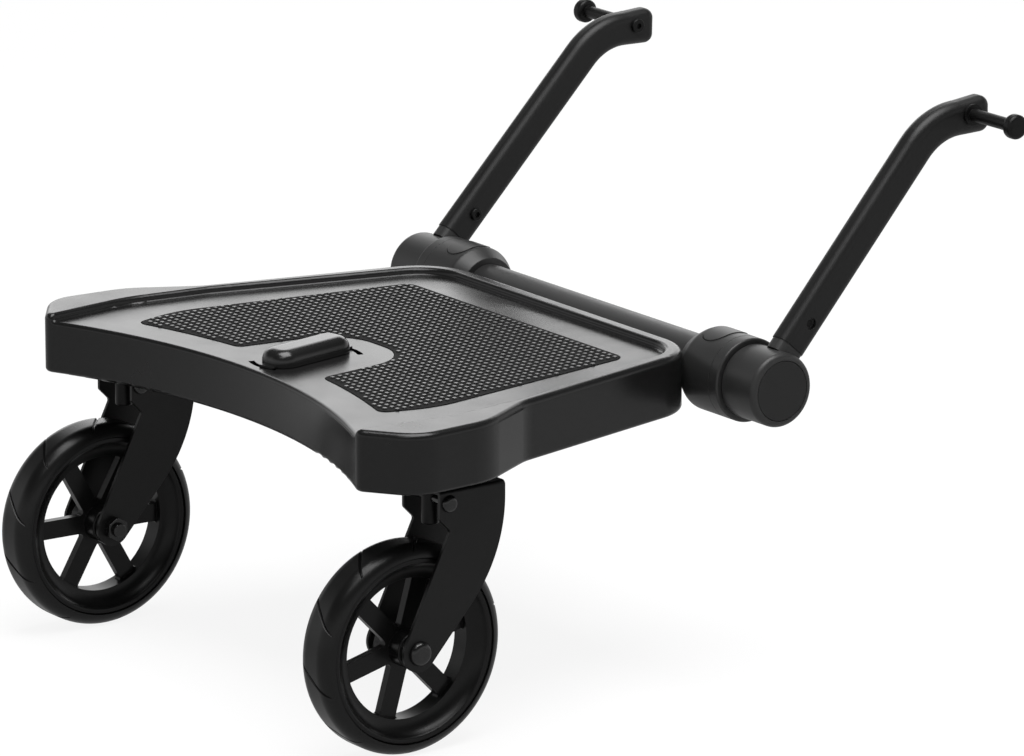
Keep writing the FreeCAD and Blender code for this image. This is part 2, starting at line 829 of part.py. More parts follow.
def make_fork_fasteners():
    rivet = turned("right_fork_rivet", [
        (-fork_half - S.rivet_head_height, ZERO),
        (-fork_half - S.rivet_head_height, S.rivet_head_radius, S.rivet_head_round),
        (-fork_half, S.rivet_head_radius),
        (-fork_half, S.rivet_radius),
        (fork_half, S.rivet_radius),
        (fork_half, S.rivet_head_radius),
        (fork_half + S.rivet_head_height, S.rivet_head_radius, S.rivet_head_round),
        (fork_half + S.rivet_head_height, ZERO)])
    keep(rivet, "right_fork_rivet", *stem_place, S.rivet_height)
    axle_tip = -fork_half - S.axle_nut_height - S.axle_tail
    bolt = turned("right_axle_bolt", shank_with_head(
        axle_tip, fork_half, S.axle_radius, S.axle_head_radius, S.axle_head_height,
        S.axle_head_round, S.axle_tail_round))
    keep(bolt, "right_axle_bolt", *wheel_place)
    nut = hex_nut("right_axle_nut", S.axle_nut_radius, S.axle_nut_height, S.axle_radius + S.seat_gap, TO_X)
    keep(nut, "right_axle_nut", S.caster_x - fork_half - S.axle_nut_height, ZERO, S.tyre_radius)
    spacers = []
    for side in (1, -1):
        near = (hub_half + S.bush_flange + S.fit_gap) * side
        spacers.append(turned("right_axle_spacer", tube_profile(
            near, leg_inner * side, S.axle_radius + S.seat_gap, S.spacer_radius)))
    keep(group("right_axle_spacers", spacers), "right_axle_spacers", *wheel_place)


# Deck: upper tray and lower frame, both following one plan outline

rear_radius = (S.tail_half_width * S.tail_half_width + S.rear_bow * S.rear_bow) / (S.rear_bow * 2)
rear_centre = S.rear_bow - S.tail_behind - rear_radius
wing_half = S.tail_half_width + S.wing_flare
wing_front_half = wing_half - S.wing_front_inset


def deck_plan(inset):
    """Corners of the deck's plan, drawn in from the edge; the rear edge is an arc."""
    tail, rear = S.tail_half_width - inset, rear_radius + inset
    right = [
        (tail, rear_centre + root(rear * rear - tail * tail), S.tail_round - inset),
        (wing_half - inset, -S.wing_behind + inset / 2, S.wing_rear_round - inset),
        (wing_front_half - inset, S.wing_front_ahead, S.wing_front_round - inset),
        (S.waist_half_width - inset, S.waist_ahead, S.waist_round + inset),
        (S.nose_half_width - inset, S.nose_ahead - inset, S.nose_round - inset),
    ]
    left = [(-corner[0],) + corner[1:] for corner in reversed(right)]
    left[-1] = left[-1] + (-rear,)
    return right + left


def at_height(edge, height):
    box = edge.BoundBox
    return box.ZLength < TOUCH and abs(box.ZMin - height) < TOUCH


mat_nose_ahead = S.nose_ahead - S.mat_nose_margin


def mat_plan(gap):
    """Corners of the grip mat's plan; gap widens it for the recess in the deck."""
    rear = rear_radius + S.mat_tail_margin - gap
    tail, mouth = S.mat_tail_half_width + gap, S.tongue_half_width - gap
    tail_ahead = rear_centre + root(rear * rear - tail * tail)
    mouth_ahead = rear_centre + root(rear * rear - mouth * mouth)
    tip = S.tongue_tip_half_width - gap
    return [
        (mouth, mouth_ahead, S.mat_mouth_round, -rear),
        (tail, tail_ahead, S.mat_tail_round),
        (S.mat_belly_half_width + gap, S.mat_belly_ahead, S.mat_belly_round),
        (S.mat_nose_half_width + gap, mat_nose_ahead + gap, S.mat_nose_round + gap),
        (-S.mat_nose_half_width - gap, mat_nose_ahead + gap, S.mat_nose_round + gap),
        (-S.mat_belly_half_width - gap, S.mat_belly_ahead, S.mat_belly_round),
        (-tail, tail_ahead, S.mat_tail_round, -rear),
        (-mouth, mouth_ahead, S.mat_mouth_round),
        (-tip, S.tongue_ahead - gap, S.tongue_round - gap),
        (tip, S.tongue_ahead - gap, S.tongue_round - gap)]


frame_top = boss_bottom + S.frame_sheet
tray_tail_half = S.tail_half_width - S.tray_tail_inset
floor_under = S.floor_height - S.floor_sheet
bar_bottom = boss_top + S.bar_above_boss
knob_swing = S.knob_tab_radius * sine(S.knob_turn_angle)
screw_spots = [
    (S.waist_half_width * across_share * side, S.nose_ahead * ahead_share)
    for across_share, ahead_share in SCREW_SHARES
    for side in (1, -1)
]


def make_deck():
    body = new_body("deck_tray")
    plan = new_sketch(body, "XY_Plane", S.deck_bottom)
    outline(plan, deck_plan(ZERO))
    pad(body, plan, S.deck_top - S.deck_bottom)
    top, bottom = S.deck_top.value, S.deck_bottom.value
    fillet(body, S.deck_bottom_round, lambda edge: at_height(edge, bottom))
    fillet(body, S.deck_top_round, lambda edge: at_height(edge, top))
    hollow = new_sketch(body, "XY_Plane", S.deck_bottom)
    outline(hollow, deck_plan(S.skirt_wall))
    pocket(body, hollow, floor_under - S.deck_bottom, backwards=True)
    fill = new_sketch(body, "XY_Plane", frame_top + S.fit_gap)
    for side in (1, -1):
        outline(fill, corner_fill_plan(side))
    pad(body, fill, floor_under - frame_top)
    for side in (1, -1):
        relief = new_sketch(body, "YZ_Plane", (S.sleeve_inner_x - S.sleeve_relief) * side)
        ring(relief, tube_ahead, tube_height, S.sleeve_radius + S.sleeve_relief)
        pocket(body, relief, S.nose_half_width - S.sleeve_inner_x + S.nose_round, backwards=side > 0)
    tray = new_sketch(body, "XY_Plane", S.deck_top)
    outline(tray, tray_plan())
    pocket(body, tray, S.deck_top - S.floor_height)
    floor, tray_half = S.floor_height.value, tray_tail_half.value
    fillet(body, S.tray_cove, lambda edge: at_height(edge, floor) and not on_rear_edge(edge, tray_half))
    fillet(body, S.rear_edge_round, lambda edge: at_height(edge, floor) and on_rear_edge(edge, tray_half))
    recess = new_sketch(body, "XY_Plane", S.floor_height)
    outline(recess, mat_plan(S.fit_gap))
    pocket(body, recess, S.mat_sink)
    posts = new_sketch(body, "XY_Plane", frame_top)
    for x, y in screw_spots:
        ring(posts, x, y, S.post_radius)
    pad(body, posts, floor_under - frame_top)
    saddles = new_sketch(body, "XY_Plane", tube_height - S.pad_height / 2)
    for side in (1, -1):
        near, far = S.pad_x * side - S.pad_width / 2, S.pad_x * side + S.pad_width / 2
        back, front = S.nose_ahead - S.skirt_wall, tube_ahead - S.tube_radius / 2
        outline(saddles, [(near, back), (far, back), (far, front), (near, front)])
    pad(body, saddles, S.pad_height)
    bed = new_sketch(body, "YZ_Plane")
    ring(bed, tube_ahead, tube_height, S.tube_radius + S.seat_gap)
    pocket(body, bed, S.nose_half_width * 2, both_ways=True)
    bolts = new_sketch(body, "XZ_Plane", -S.nose_ahead + S.skirt_wall * 2)
    for side in (1, -1):
        ring(bolts, S.pad_x * side, tube_height, S.bolt_radius + S.seat_gap)
    pocket(body, bolts, tube_ahead - S.nose_ahead + S.skirt_wall * 2)
    screws = new_sketch(body, "XY_Plane", frame_top)
    for x, y in screw_spots:
        ring(screws, x, y, S.frame_screw_radius + S.seat_gap)
    pocket(body, screws, S.frame_screw_reach - S.frame_sheet, backwards=True)
    knob_cuts = new_sketch(body, "XY_Plane", S.floor_height + S.overrun)
    ring(knob_cuts, ZERO, S.knob_ahead, S.knob_pivot_radius + S.running_gap)
    for side in (1, -1):
        outline(knob_cuts, slot_plan(side))
    pocket(body, knob_cuts, S.floor_sheet + S.overrun * 2)
    keep(body, "deck_tray")


def corner_fill_plan(side):
    """Plan of the thicker wall behind the relief for a hub sleeve, in a front corner of the deck."""
    inner, outer = S.sleeve_inner_x - S.relief_wall, S.sleeve_inner_x + S.relief_span
    back = tube_ahead - S.sleeve_radius - S.sleeve_relief - S.relief_wall
    corners = [(inner, back), (outer, back), (outer, nose_edge(outer)), (inner, nose_edge(inner))]
    return [(corner[0] * side, corner[1]) for corner in corners]


def nose_edge(across):
    """How far ahead the middle of the skirt's wall lies in a rounded front corner."""
    run, spread = S.nose_ahead - S.waist_ahead, S.waist_half_width - S.nose_half_width
    centre = S.nose_half_width + S.nose_round * (spread - root(run * run + spread * spread)) / run
    radius, off = S.nose_round - S.skirt_wall / 2, across - centre
    return S.nose_ahead - S.nose_round + root(radius * radius - off * off)


def on_rear_edge(edge, tray_half):
    """The long edge across the open rear of the tray."""
    box = edge.BoundBox
    return box.XLength > tray_half and box.YMax < tray_half / 2


def tray_plan():
    """The standing area inside the rim, open at the rear edge."""
    inset = S.rim_wall
    right = [
        (tray_tail_half, -S.tail_behind - S.overrun),
        (wing_half - S.tray_wing_inset, S.tray_wing_ahead, S.tray_wing_round),
        (S.waist_half_width - inset, S.waist_ahead, S.waist_round + inset),
        (S.nose_half_width - inset, S.nose_ahead - S.front_rim, S.nose_round - S.front_rim),
    ]
    left = [(-corner[0],) + corner[1:] for corner in reversed(right)]
    return right + left


def slot_plan(side):
    """The arc slot that a knob tab swings in, ahead of the pivot or behind it."""
    outer, inner = S.knob_tab_radius + S.tab_slot_half_width, S.knob_tab_radius - S.tab_slot_half_width
    swing, lean = sine(S.tab_slot_angle), cosine(S.tab_slot_angle)
    return [
        (outer * swing * side, S.knob_ahead + outer * lean * side, None, outer),
        (-outer * swing * side, S.knob_ahead + outer * lean * side),
        (-inner * swing * side, S.knob_ahead + inner * lean * side, None, -inner),
        (inner * swing * side, S.knob_ahead + inner * lean * side)]


def make_under_frame():
    body = new_body("under_frame")
    plan = new_sketch(body, "XY_Plane", boss_bottom)
    outline(plan, deck_plan(S.skirt_wall + S.fit_gap))
    pad(body, plan, S.frame_sheet)
    bosses = new_sketch(body, "XY_Plane", boss_bottom)
    for side in (1, -1):
        ring(bosses, S.caster_x * side, S.caster_trail, S.boss_radius)
    pad(body, bosses, S.boss_height)
    rests = new_sketch(body, "XY_Plane", boss_bottom)
    for side in (1, -1):
        ring(rests, S.caster_x * side / 2, S.caster_trail, S.post_radius)
    pad(body, rests, bar_bottom - S.fit_gap - boss_bottom)
    bores = new_sketch(body, "XY_Plane", boss_bottom)
    for side in (1, -1):
        ring(bores, S.caster_x * side, S.caster_trail, S.swivel_bush_radius + S.seat_gap)
    pocket(body, bores, S.boss_height + S.overrun, backwards=True)
    screws = new_sketch(body, "XY_Plane", boss_bottom)
    for x, y in screw_spots:
        ring(screws, x, y, S.frame_screw_radius + S.seat_gap)
    pocket(body, screws, S.frame_sheet + S.overrun, backwards=True)
    keep(body, "under_frame")


def make_frame_screws():
    screws = []
    for x, y in screw_spots:
        screw = turned("frame_screw", [
            (boss_bottom - S.frame_screw_head, ZERO),
            (boss_bottom - S.frame_screw_head, S.frame_screw_head_radius, S.frame_screw_head / 2),
            (boss_bottom, S.frame_screw_head_radius),
            (boss_bottom, S.frame_screw_radius),
            (boss_bottom + S.frame_screw_reach - S.fit_gap, S.frame_screw_radius),
            (boss_bottom + S.frame_screw_reach - S.fit_gap, ZERO)], "Z")
        place(screw, x, y)
        screws.append(screw)
    keep(group("frame_screws", screws), "frame_screws")


def make_mat():
    body = new_body("grip_mat")
    plan = new_sketch(body, "XY_Plane", S.floor_height - S.mat_sink)
    outline(plan, mat_plan(ZERO))
    pad(body, plan, S.mat_sheet)
    keep(body, "grip_mat")


# Knob on the deck, which turns about its centre screw and pushes the lock bar across

def make_knob():
    body = new_body("turn_knob")
    half_width, half_length = S.knob_width / 2, S.knob_length / 2
    plan = new_sketch(body, "XY_Plane", S.fit_gap)
    outline(plan, [
        (-half_width, -half_length, S.knob_plan_round), (half_width, -half_length, S.knob_plan_round),
        (half_width, half_length, S.knob_plan_round), (-half_width, half_length, S.knob_plan_round)])
    pad(body, plan, S.knob_height - S.fit_gap)
    top = S.knob_height.value
    fillet(body, S.knob_top_round, lambda edge: at_height(edge, top))
    tabs = new_sketch(body, "XY_Plane", S.knob_foot)
    half_tab, half_sheet = S.knob_tab_width / 2, S.knob_tab_sheet / 2
    for side in (1, -1):
        near, far = (S.knob_tab_radius - half_sheet) * side, (S.knob_tab_radius + half_sheet) * side
        outline(tabs, [(-half_tab, near), (half_tab, near), (half_tab, far), (-half_tab, far)])
    pad(body, tabs, S.knob_foot + S.floor_height - bar_bottom, backwards=True)
    arms = new_sketch(body, "XY_Plane", S.fit_gap)
    reach = S.knob_tab_radius + half_sheet
    outline(arms, [(-half_tab, -reach), (half_tab, -reach), (half_tab, reach), (-half_tab, reach)])
    pad(body, arms, S.knob_foot - S.fit_gap)
    hole = new_sketch(body, "XY_Plane")
    ring(hole, ZERO, ZERO, S.knob_pivot_radius)
    pocket(body, hole, S.knob_pivot_reach + S.fit_gap, backwards=True)
    body.Placement = FreeCAD.Placement(FreeCAD.Vector(), FreeCAD.Rotation(FreeCAD.Vector(0, 0, 1), 1))
    bind(body, "Placement.Rotation.Angle", S.knob_turn_angle)
    keep(body, "turn_knob", ZERO, S.knob_ahead, S.floor_height)


def make_knob_pivot():
    head_bottom = floor_under - S.fit_gap - S.knob_pivot_head
    pivot = turned("knob_pivot", [
        (head_bottom, ZERO),
        (head_bottom, S.knob_pivot_head_radius),
        (head_bottom + S.knob_pivot_head, S.knob_pivot_head_radius),
        (head_bottom + S.knob_pivot_head, S.knob_pivot_radius),
        (S.floor_height + S.knob_pivot_reach, S.knob_pivot_radius),
        (S.floor_height + S.knob_pivot_reach, ZERO)], "Z")
    keep(pivot, "knob_pivot", ZERO, S.knob_ahead)


def make_lock_bar():
    body = new_body("lock_bar")
    stem_slot = S.stem_radius + S.fit_gap * 2
    travel = knob_swing * 2
    near, far = S.caster_trail - S.bar_width / 2, S.caster_trail + S.bar_width / 2
    left = -S.caster_x - stem_slot - S.bar_margin
    right = S.caster_x + travel + stem_slot + S.bar_margin
    plan = new_sketch(body, "XY_Plane", bar_bottom)
    outline(plan, [
        (left, near, S.bar_round), (right, near, S.bar_round),
        (right, far, S.bar_round), (left, far, S.bar_round)])
    pad(body, plan, S.bar_sheet)
    slots = new_sketch(body, "XY_Plane", bar_bottom)
    for side in (1, -1):
        start, end = S.caster_x * side - stem_slot, S.caster_x * side + travel + S.stem_radius + S.fit_gap
        outline(slots, [
            (start, S.caster_trail - stem_slot), (end, S.caster_trail - stem_slot),
            (end, S.caster_trail + stem_slot), (start, S.caster_trail + stem_slot)])
    tab_ahead = S.knob_ahead - S.knob_tab_radius
    half_notch = S.knob_tab_width / 2 + S.fit_gap * 2
    notch_ahead = tab_ahead + S.knob_tab_width / 2
    outline(slots, [
        (knob_swing - half_notch, near - S.overrun), (knob_swing + half_notch, near - S.overrun),
        (knob_swing + half_notch, notch_ahead), (knob_swing - half_notch, notch_ahead)])
    pocket(body, slots, S.bar_sheet + S.overrun, backwards=True)
    keep(body, "lock_bar")


# Cross tube in front of the deck, bolted through two saddles

tube_place = (ZERO, tube_ahead, tube_height)


def make_cross_tube():
    body = turned("cross_tube", tube_profile(
        -S.tube_half_length, S.tube_half_length, S.tube_radius - S.tube_wall, S.tube_radius))
    bolts = new_sketch(body, "XZ_Plane")
    for side in (1, -1):
        ring(bolts, S.pad_x * side, ZERO, S.bolt_radius + S.seat_gap)
    pocket(body, bolts, S.tube_radius * 2 + S.overrun, both_ways=True)
    pins = new_sketch(body, "XY_Plane")
    for side in (1, -1):
        ring(pins, S.button_x * side, ZERO, S.button_pin_radius + S.fit_gap)
    pocket(body, pins, S.tube_radius + S.overrun, backwards=True)
    screws = new_sketch(body, "XY_Plane")
    for side in (1, -1):
        ring(screws, S.sleeve_screw_x * side, ZERO, S.sleeve_screw_radius + S.seat_gap)
    pocket(body, screws, S.tube_radius + S.overrun)
    keep(body, "cross_tube", *tube_place)


def make_tube_bolts():
    bolts, nuts = [], []
    tip = S.nose_ahead - S.skirt_wall - S.nut_height - S.bolt_tail
    for side in (1, -1):
        bolt = turned("tube_bolt", shank_with_head(
            tip, tube_ahead + S.tube_radius, S.bolt_radius, S.bolt_head_radius, S.bolt_head_height,
            S.bolt_head_round), "Y")
        place(bolt, S.pad_x * side)
        bolts.append(bolt)
        nut = hex_nut("tube_nut", S.nut_radius, S.nut_height, S.bolt_radius + S.seat_gap, TO_Y)
        place(nut, S.pad_x * side, S.nose_ahead - S.skirt_wall - S.nut_height)
        nuts.append(nut)
    keep(group("tube_bolts", bolts), "tube_bolts", ZERO, ZERO, tube_height)
    keep(group("tube_nuts", nuts), "tube_nuts", ZERO, ZERO, tube_height)


# Hub: sleeve on the tube's end with a push button, and its end ring

inner_radius = S.tube_radius - S.tube_wall - S.fit_gap


def button_plan(gap):
    """The button's plan, an oval that lies across the sleeve."""
    near, far = S.button_x - S.button_width / 2 - gap, S.button_x + S.button_width / 2 + gap
    half, rounding = S.button_length / 2 + gap, S.button_round + gap
    return [(near, -half, rounding), (far, -half, rounding), (far, half, rounding), (near, half, rounding)]


def make_sleeve():
    bore = S.tube_radius + S.seat_gap
    taper_x = S.sleeve_inner_x + S.sleeve_taper
    body = turned("right_hub_sleeve", [
        (S.sleeve_inner_x, bore),
        (S.sleeve_inner_x, S.sleeve_mouth_radius, S.sleeve_edge_round),
        (taper_x, S.sleeve_radius, S.sleeve_round),
        (S.sleeve_outer_x, S.sleeve_radius),
        (S.sleeve_outer_x, bore)])
    window = new_sketch(body, "XY_Plane")
    outline(window, button_plan(S.button_gap))
    pocket(body, window, S.sleeve_radius + S.overrun, backwards=True)
    screw = new_sketch(body, "XY_Plane")
    ring(screw, S.sleeve_screw_x, ZERO, S.sleeve_screw_radius + S.seat_gap)
    pocket(body, screw, S.sleeve_radius + S.overrun)
    sink = new_sketch(body, "XY_Plane", -S.sleeve_radius + S.sleeve_screw_sink)
    ring(sink, S.sleeve_screw_x, ZERO, S.sleeve_screw_head_radius + S.fit_gap)
    pocket(body, sink, S.sleeve_screw_sink + S.overrun)
    keep(body, "right_hub_sleeve", *tube_place)
    start = S.sleeve_outer_x + S.split_gap
    end = S.sleeve_outer_x + S.ring_length
    end_ring = turned("right_sleeve_ring", tube_profile(
        start, end, inner_radius + S.fit_gap, S.sleeve_radius, None, S.ring_round))
    keep(end_ring, "right_sleeve_ring", *tube_place)


def make_sleeve_screws():
    screws = []
    head_seat = -S.sleeve_radius + S.sleeve_screw_sink
    for side in (1, -1):
        screw = turned("sleeve_screw", [
            (head_seat - S.sleeve_screw_head, ZERO),
            (head_seat - S.sleeve_screw_head, S.sleeve_screw_head_radius),
            (head_seat, S.sleeve_screw_head_radius),
            (head_seat, S.sleeve_screw_radius),
            (-inner_radius - S.fit_gap * 2, S.sleeve_screw_radius),
            (-inner_radius - S.fit_gap * 2, ZERO)], "Z")
        place(screw, S.sleeve_screw_x * side)
        screws.append(screw)
    keep(group("sleeve_screws", screws), "sleeve_screws", *tube_place)


def make_button():
    body = new_body("right_hub_button")
    plan = new_sketch(body, "XY_Plane")
    outline(plan, button_plan(ZERO))
    pad(body, plan, S.sleeve_radius + S.overrun)
    crown = new_sketch(body, "YZ_Plane", S.button_x - S.button_width)
    ring(crown, ZERO, ZERO, S.sleeve_radius + S.button_proud)
    ring(crown, ZERO, ZERO, S.sleeve_radius * 2)
    pocket(body, crown, S.button_width * 2, backwards=True)
    belly = new_sketch(body, "YZ_Plane", S.button_x - S.button_width)
    ring(belly, ZERO, ZERO, S.sleeve_radius - S.button_sheet)
    pocket(body, belly, S.button_width * 2, backwards=True)
    pin = new_sketch(body, "XY_Plane", inner_radius - S.button_pin_reach)
    ring(pin, S.button_x, ZERO, S.button_pin_radius)
    pad(body, pin, S.sleeve_radius - S.button_sheet / 2 - inner_radius + S.button_pin_reach)
    keep(body, "right_hub_button", *tube_place)


def make_button_spring():
    """A short coil round the button's pin, between the tube and the button."""
    low = S.tube_radius + S.spring_wire
    high = S.sleeve_radius - S.button_sheet - S.spring_wire * 2
    body = new_body("right_button_spring")
    section = new_sketch(body, "XZ_Plane")
    ring(section, S.spring_radius, ZERO, S.spring_wire / 2)
    coil = body.newObject("PartDesign::AdditiveHelix", "Coil")
    coil.Profile = section
    coil.ReferenceAxis = (section, ["V_Axis"])
    coil.Mode = "pitch-height-angle"
    bind(coil, "Pitch", (high - low) / SPRING_TURNS)
    bind(coil, "Height", high - low)
    keep(body, "right_button_spring", S.button_x, tube_ahead, tube_height + low)


# Telescope: inner tube that slides in the cross tube and carries the arm's joint

def make_inner_tube():
    bore = inner_radius - S.inner_wall
    body = turned("right_inner_tube", tube_profile(
        S.inner_tube_start, S.inner_tube_end, bore, inner_radius))
    half = S.button_pin_radius + S.fit_gap
    slot = new_sketch(body, "XY_Plane")
    outline(slot, [
        (S.button_x - S.slide_travel - half, -half), (S.button_x + half, -half),
        (S.button_x + half, half), (S.button_x - S.slide_travel - half, half)])
    pocket(body, slot, S.tube_radius + S.overrun, backwards=True)
    keep(body, "right_inner_tube", *tube_place)
    plug_start = S.inner_tube_end - S.plug_length
    plug = turned("right_tube_plug", tube_profile(
        plug_start, S.inner_tube_end, S.plug_thread_radius + S.seat_gap, bore - S.seat_gap))
    keep(plug, "right_tube_plug", *tube_place)
    bolt_tip = S.inner_tube_end - S.pivot_bolt_reach
    flange_end = S.inner_tube_end + S.flange_sheet
    bolt = turned("right_pivot_bolt", [
        (bolt_tip, ZERO), (bolt_tip, S.plug_thread_radius), (S.inner_tube_end, S.plug_thread_radius),
        (S.inner_tube_end, S.flange_radius), (flange_end, S.flange_radius), (flange_end, S.pivot_head_radius),
        (flange_end + S.pivot_head_height, S.pivot_head_radius), (flange_end + S.pivot_head_height, ZERO)])
    keep(bolt, "right_pivot_bolt", *tube_place)


# Arm: joint drum with a socket, flat oval arm, screws and the mushroom stud

drum_middle = (S.drum_inner_x + S.drum_outer_x) / 2
arm_half = S.arm_depth / 2


def arm_plan(foot, wall):
    """Side outline of the arm, drawn along its straight run; wall draws it in all round."""
    half = arm_half - wall
    high = half + S.arm_tip_flare
    turn = arm_bend_turn
    bend_start = S.arm_corner - S.arm_bend * tangent(turn / 2)
    bend_centre = S.arm_offset - S.arm_bend
    outer, inner = S.arm_bend + half, S.arm_bend - half
    tip = S.arm_tip - wall
    end_along, end_off = tip_along + tip * cosine(turn), tip_off - tip * sine(turn)
    return [
        (foot, S.arm_offset - half),
        (bend_start, bend_centre + inner, None, -inner),
        (bend_start + inner * sine(turn), bend_centre + inner * cosine(turn)),
        (end_along - half * sine(turn), end_off - half * cosine(turn), S.arm_tip_round - wall),
        (end_along + high * sine(turn), end_off + high * cosine(turn), S.arm_tip_round - wall),
        (bend_start + outer * sine(turn), bend_centre + outer * cosine(turn), None, outer),
        (bend_start, bend_centre + outer),
        (foot, S.arm_offset + half)]


def on_side_face(edge, side):
    """An edge that lies in the plane at one side of the arm."""
    box = edge.BoundBox
    return box.XLength < TOUCH and abs(abs(edge.CenterOfMass.x) - side) < TOUCH


def make_arm(arm):
    body = new_body("arm_tube")
    plan = new_sketch(body, "YZ_Plane")
    outline(plan, arm_plan(S.arm_foot, ZERO))
    pad(body, plan, S.arm_width, both_ways=True)
    side, foot = S.arm_width.value / 2, S.arm_foot.value + TOUCH
    fillet(body, S.arm_edge_round, lambda edge: on_side_face(edge, side) and edge.BoundBox.YMax > foot)
    hollow = new_sketch(body, "YZ_Plane")
    outline(hollow, arm_plan(S.arm_foot - S.overrun, S.arm_wall * 2))
    pocket(body, hollow, S.arm_width - S.arm_wall * 2, both_ways=True)
    screws = new_sketch(body, "YZ_Plane")
    ring(screws, S.arm_screw_along, S.arm_offset, S.arm_screw_radius + S.seat_gap)
    ring(screws, stud_along, stud_off, S.stud_thread_radius + S.seat_gap)
    pocket(body, screws, S.arm_width + S.overrun, both_ways=True)
    opening = new_sketch(body, "YZ_Plane", arm_side - S.arm_wall - S.overrun)
    ring(opening, S.arm_screw_along, S.arm_offset, S.arm_hole_radius)
    pocket(body, opening, S.arm_wall + S.overrun * 2, backwards=True)
    lean(body, arm_angles[arm])
    keep_for_side(body, arm, "arm_tube", drum_middle, tube_ahead, tube_height)


def neck_plan(half, width, rounding):
    """Rounded rectangle across the arm."""
    near, far = drum_middle - width / 2, drum_middle + width / 2
    low, high = S.arm_offset - half, S.arm_offset + half
    return [(near, low, rounding), (far, low, rounding), (far, high, rounding), (near, high, rounding)]


def make_drum(arm):
    bore = inner_radius + S.running_gap
    seat = S.inner_tube_end - S.fit_gap
    body = turned("arm_drum", [
        (S.drum_inner_x, bore),
        (S.drum_inner_x, S.drum_radius, S.drum_inner_round),
        (S.drum_outer_x, S.drum_radius, S.drum_edge_round),
        (S.drum_outer_x, S.cap_radius + S.cap_gap),
        (seat, S.cap_radius + S.cap_gap),
        (seat, bore)])
    start = (S.drum_radius + S.tube_radius) / 2
    socket_shrink = S.arm_wall * 2 + S.seat_gap
    socket_width = S.arm_width - S.arm_wall * 2 - S.seat_gap * 2
    neck_width = S.arm_width - S.neck_step * 2
    for reach, half, width, rounding in (
        (S.socket_reach, arm_half - socket_shrink, socket_width, S.socket_round),
        (S.arm_foot, arm_half - S.neck_step, neck_width, S.arm_edge_round - S.neck_step),
    ):
        neck = new_sketch(body, "XZ_Plane", -reach)
        outline(neck, neck_plan(half, width, rounding))
        pad(body, neck, reach - start)
    clear = new_sketch(body, "YZ_Plane", drum_middle)
    ring(clear, S.arm_screw_along, S.arm_offset, S.arm_screw_radius + S.seat_gap)
    pocket(body, clear, S.arm_width, both_ways=True)
    lean(body, arm_angles[arm])
    keep_for_side(body, arm, "arm_drum", *tube_place)


def make_end_cap():
    cap = turned("right_end_cap", [
        (S.drum_outer_x - S.cap_sheet, ZERO), (S.drum_outer_x - S.cap_sheet, S.cap_radius),
        (S.drum_outer_x, S.cap_radius, S.cap_round), (S.drum_outer_x, ZERO)])
    keep(cap, "right_end_cap", *tube_place)


arm_side = S.arm_width / 2


def make_arm_fasteners(arm):
    screw_ahead, screw_up = off_the_tube(arm, S.arm_screw_along, S.arm_offset)
    screw_place = (drum_middle, tube_ahead + screw_ahead, tube_height + screw_up)
    screw_end = arm_side - S.arm_wall
    screw = turned("arm_screw", [
        (-arm_side - S.arm_screw_head, ZERO),
        (-arm_side - S.arm_screw_head, S.arm_screw_head_radius, S.arm_screw_round),
        (-arm_side, S.arm_screw_head_radius), (-arm_side, S.arm_screw_radius),
        (screw_end, S.arm_screw_radius), (screw_end, ZERO)])
    hex_socket(screw, "YZ_Plane", -arm_side - S.arm_screw_head, S.key_depth, backwards=True)
    keep_for_side(screw, arm, "arm_screw", *screw_place)
    stud_ahead, stud_up = off_the_tube(arm, stud_along, stud_off)
    stud_place = (drum_middle, tube_ahead + stud_ahead, tube_height + stud_up)
    head, thread_end = arm_side + S.stud_reach, arm_side + S.stud_reach / 2
    stud = turned("stud", [
        (arm_side, S.stud_thread_radius + S.seat_gap), (arm_side, S.stud_flange_radius),
        (arm_side + S.stud_flange, S.stud_flange_radius), (arm_side + S.stud_flange, S.stud_radius),
        (head, S.stud_radius), (head, S.stud_head_radius, S.stud_head_round),
        (head + S.stud_head_length, S.stud_head_radius, S.stud_head_round), (head + S.stud_head_length, ZERO),
        (thread_end, ZERO), (thread_end, S.stud_thread_radius + S.seat_gap)])
    keep_for_side(stud, arm, "stud", *stud_place)
    stud_screw = turned("stud_screw", [
        (-arm_side - S.stud_screw_head, ZERO),
        (-arm_side - S.stud_screw_head, S.stud_screw_head_radius, S.arm_screw_round),
        (-arm_side, S.stud_screw_head_radius), (-arm_side, S.stud_thread_radius),
        (thread_end - S.fit_gap, S.stud_thread_radius), (thread_end - S.fit_gap, ZERO)])
    hex_socket(stud_screw, "YZ_Plane", -arm_side - S.stud_screw_head, S.key_depth, backwards=True)
    keep_for_side(stud_screw, arm, "stud_screw", *stud_place)


for make in (
    make_tyre, make_wheel_bushes, make_fork, make_stem, make_swivel_rings, make_fork_fasteners,
    make_deck, make_under_frame, make_frame_screws, make_mat, make_knob, make_knob_pivot, make_lock_bar,
    make_cross_tube, make_tube_bolts, make_sleeve, make_sleeve_screws, make_button, make_button_spring,
    make_inner_tube, make_end_cap,
):
    make()

for arm, spoke_turn in (("right", S.right_spoke_angle), ("left", S.left_spoke_angle)):
    make_wheel_rim(arm, spoke_turn)
    make_arm(arm)
    make_drum(arm)
    make_arm_fasteners(arm)

for label in list(pieces):
    left_label = label.replace("right_", "left_")
    if left_label not in pieces:
        mirror(pieces[label], left_label)

doc.recompute()
failed = [thing.Name for thing in doc.Objects if {"Invalid", "Error"} & set(thing.State)]
failed += [label for label, thing in pieces.items() if thing.Shape.isNull() or not thing.Shape.isValid()]
if failed:
    raise ValueError(f"these did not build: {failed}")

os.makedirs("parts", exist_ok=True)
for label, thing in pieces.items():
    thing.Shape.exportStep(f"parts/{label}.step")
print(f"{len(pieces)} pieces")
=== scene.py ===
import math

